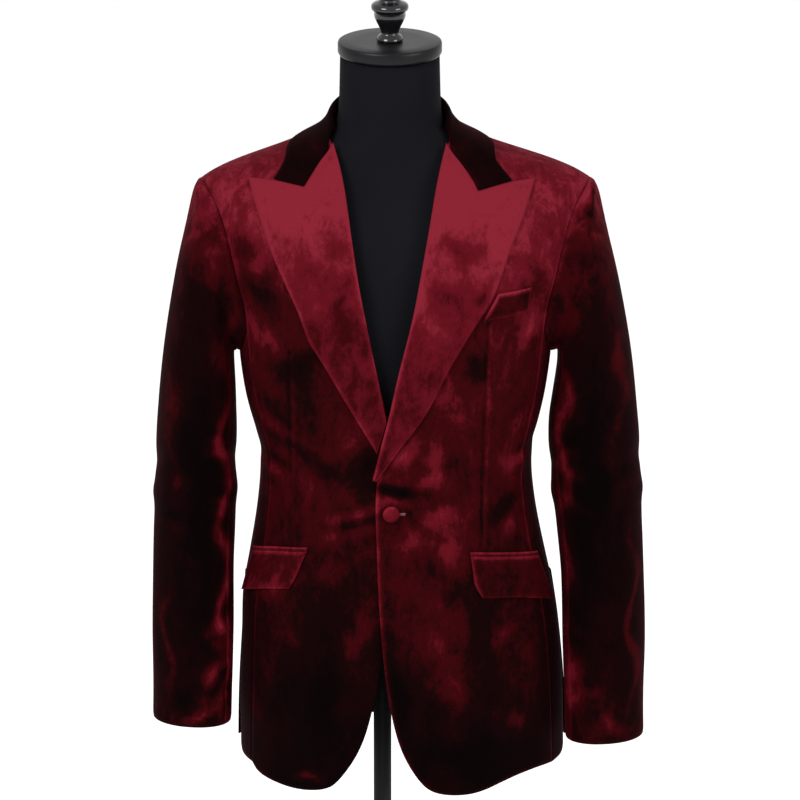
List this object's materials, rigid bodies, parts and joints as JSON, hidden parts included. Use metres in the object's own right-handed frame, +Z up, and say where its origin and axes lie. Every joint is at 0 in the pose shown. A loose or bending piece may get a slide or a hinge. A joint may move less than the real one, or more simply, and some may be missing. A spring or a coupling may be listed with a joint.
{
  "type": "velvet blazer on a dress form",
  "caption": "Tailored velvet blazer with peak lapels, a covered button and flap pockets, worn on a limbless dress form with a pole and round base.",
  "frame": {"origin": "on the floor, on the underside of the base, below the neck of the form", "axes": "+Z up, the wearer faces -Y, and the wearer's left side is +X"},
  "size_m": [0.59, 0.38, 1.6448],
  "materials": {
    "velvet": "crushed burgundy velvet with a soft sheen",
    "velvet_lapel": "burgundy velvet with its nap brushed up, lighter",
    "velvet_collar": "burgundy velvet with its nap brushed down, nearly black",
    "velvet_button": "velvet covered button",
    "form_cover": "matte black jersey cover",
    "satin_black": "satin black",
    "gloss_black": "polished black",
    "stand_black": "satin black powder coat"
  },
  "bodies": {
    "root": {"front_left": "velvet", "front_right": "velvet", "side_body_left": "velvet", "side_body_right": "velvet", "back_left": "velvet", "back_right": "velvet", "top_sleeve_left": "velvet", "top_sleeve_right": "velvet", "under_sleeve_left": "velvet", "under_sleeve_right": "velvet", "hip_flap_left": "velvet", "hip_flap_right": "velvet", "hip_welt_left": "velvet", "hip_welt_right": "velvet", "breast_welt": "velvet", "lapel_left": "velvet_lapel", "lapel_right": "velvet_lapel", "collar": "velvet_collar", "button": "velvet_button", "form_torso": "form_cover", "neck_cap": "satin_black", "finial": "gloss_black", "pole": "stand_black", "base": "stand_black"}
  },
  "joints": []
}
